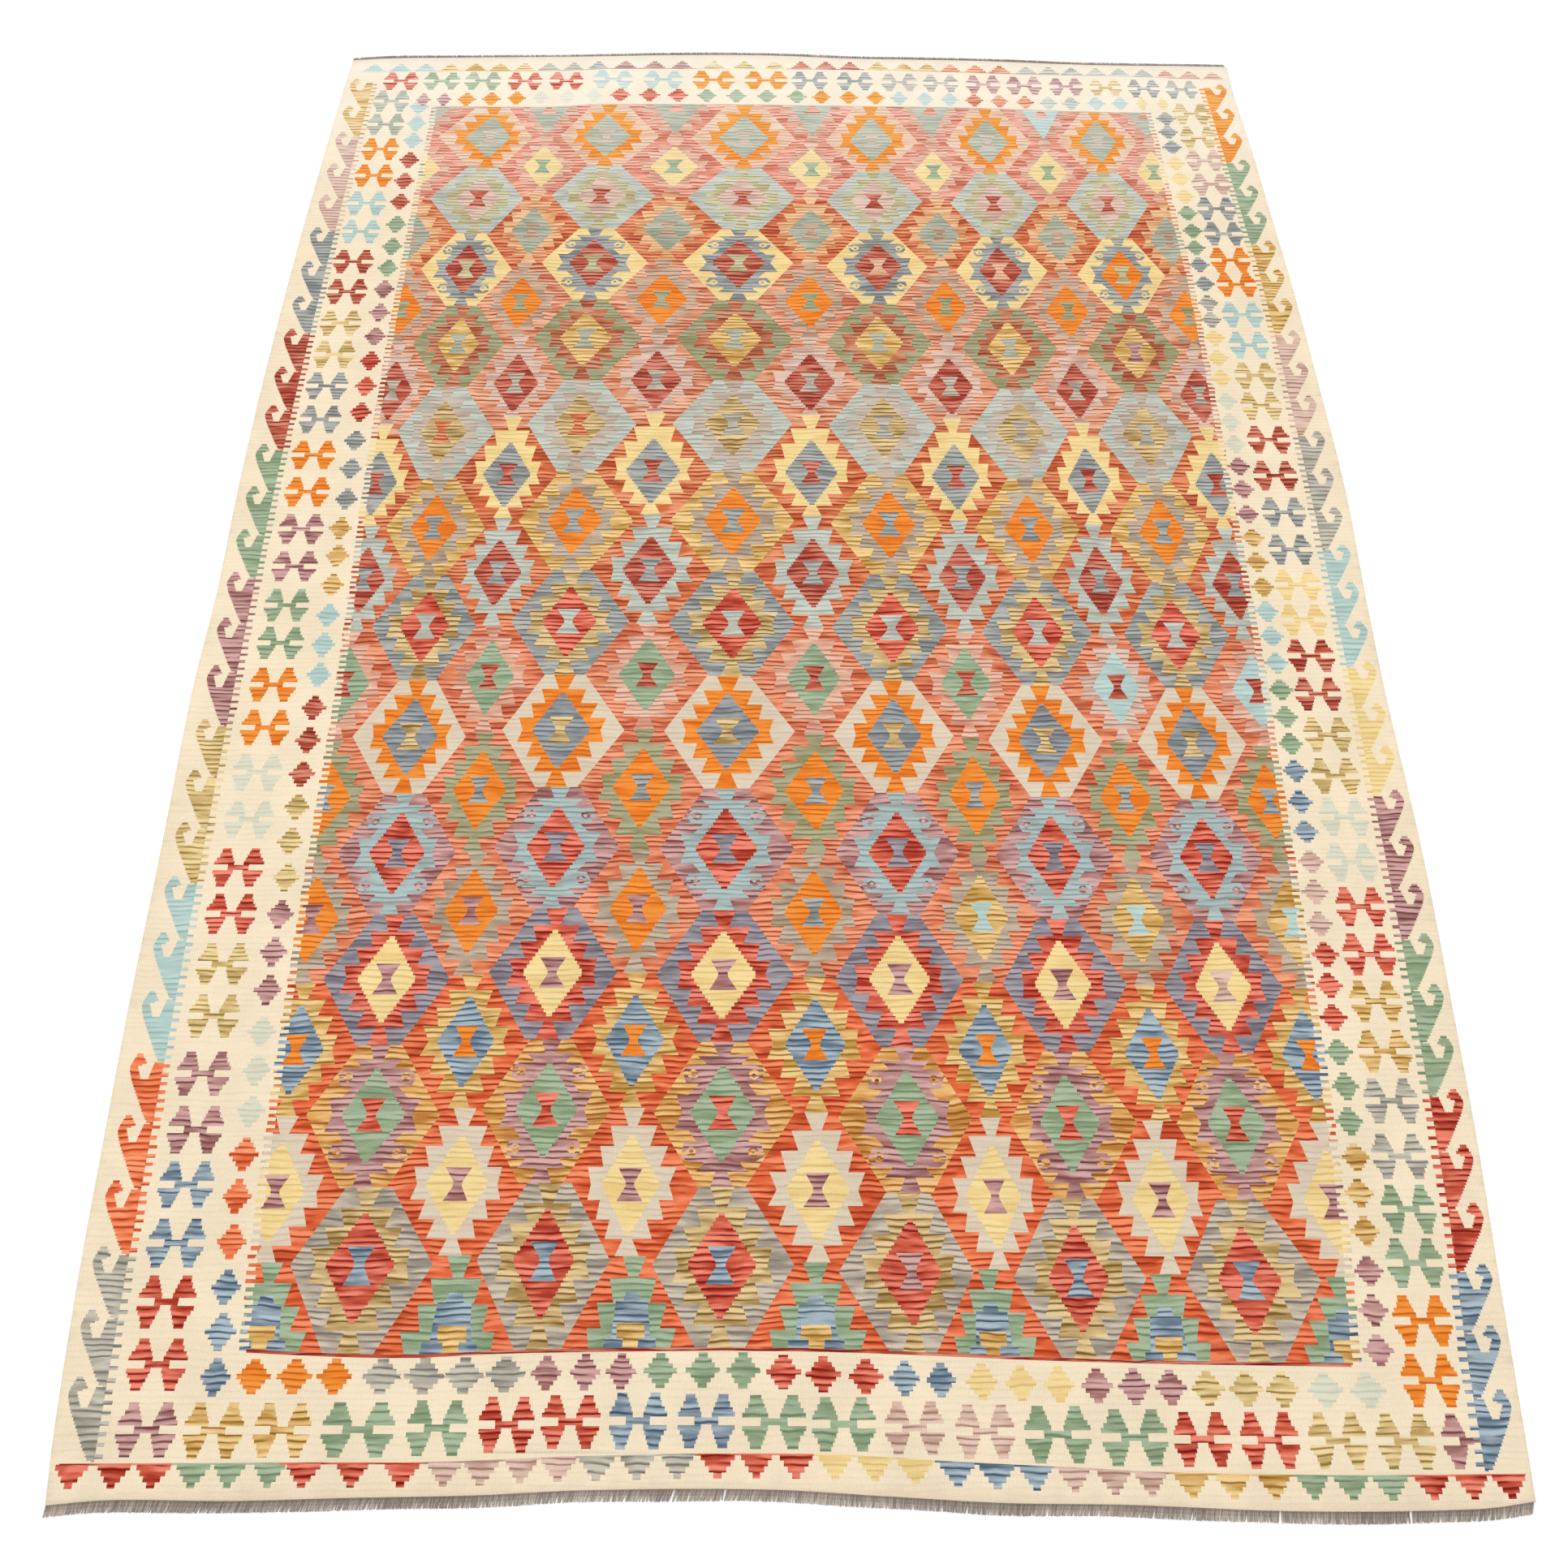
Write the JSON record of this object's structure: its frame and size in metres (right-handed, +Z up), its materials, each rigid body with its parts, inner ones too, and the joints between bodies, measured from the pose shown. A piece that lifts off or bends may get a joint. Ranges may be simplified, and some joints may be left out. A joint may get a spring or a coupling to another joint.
{
  "type": "kilim rug",
  "caption": "Large flat-woven kilim rug lying flat, with slightly bowed sides, a hexagon and diamond field in stepped borders, and short cut fringes at both ends.",
  "frame": {"origin": "middle of the rug's bounding box, on the floor under it", "axes": "+Y along the rug from the near end to the far end, +X across it to the right, +Z up"},
  "size_m": [2.101, 3.0482, 0.003],
  "materials": {
    "kilim_wool": "matt hand-spun wool in slit weave, many dyes on an ivory ground",
    "warp_ends": "matt dark grey-brown twisted warp yarn"
  },
  "bodies": {
    "root": {"kilim": "kilim_wool", "fringe_near": "warp_ends", "fringe_far": "warp_ends"}
  },
  "joints": []
}
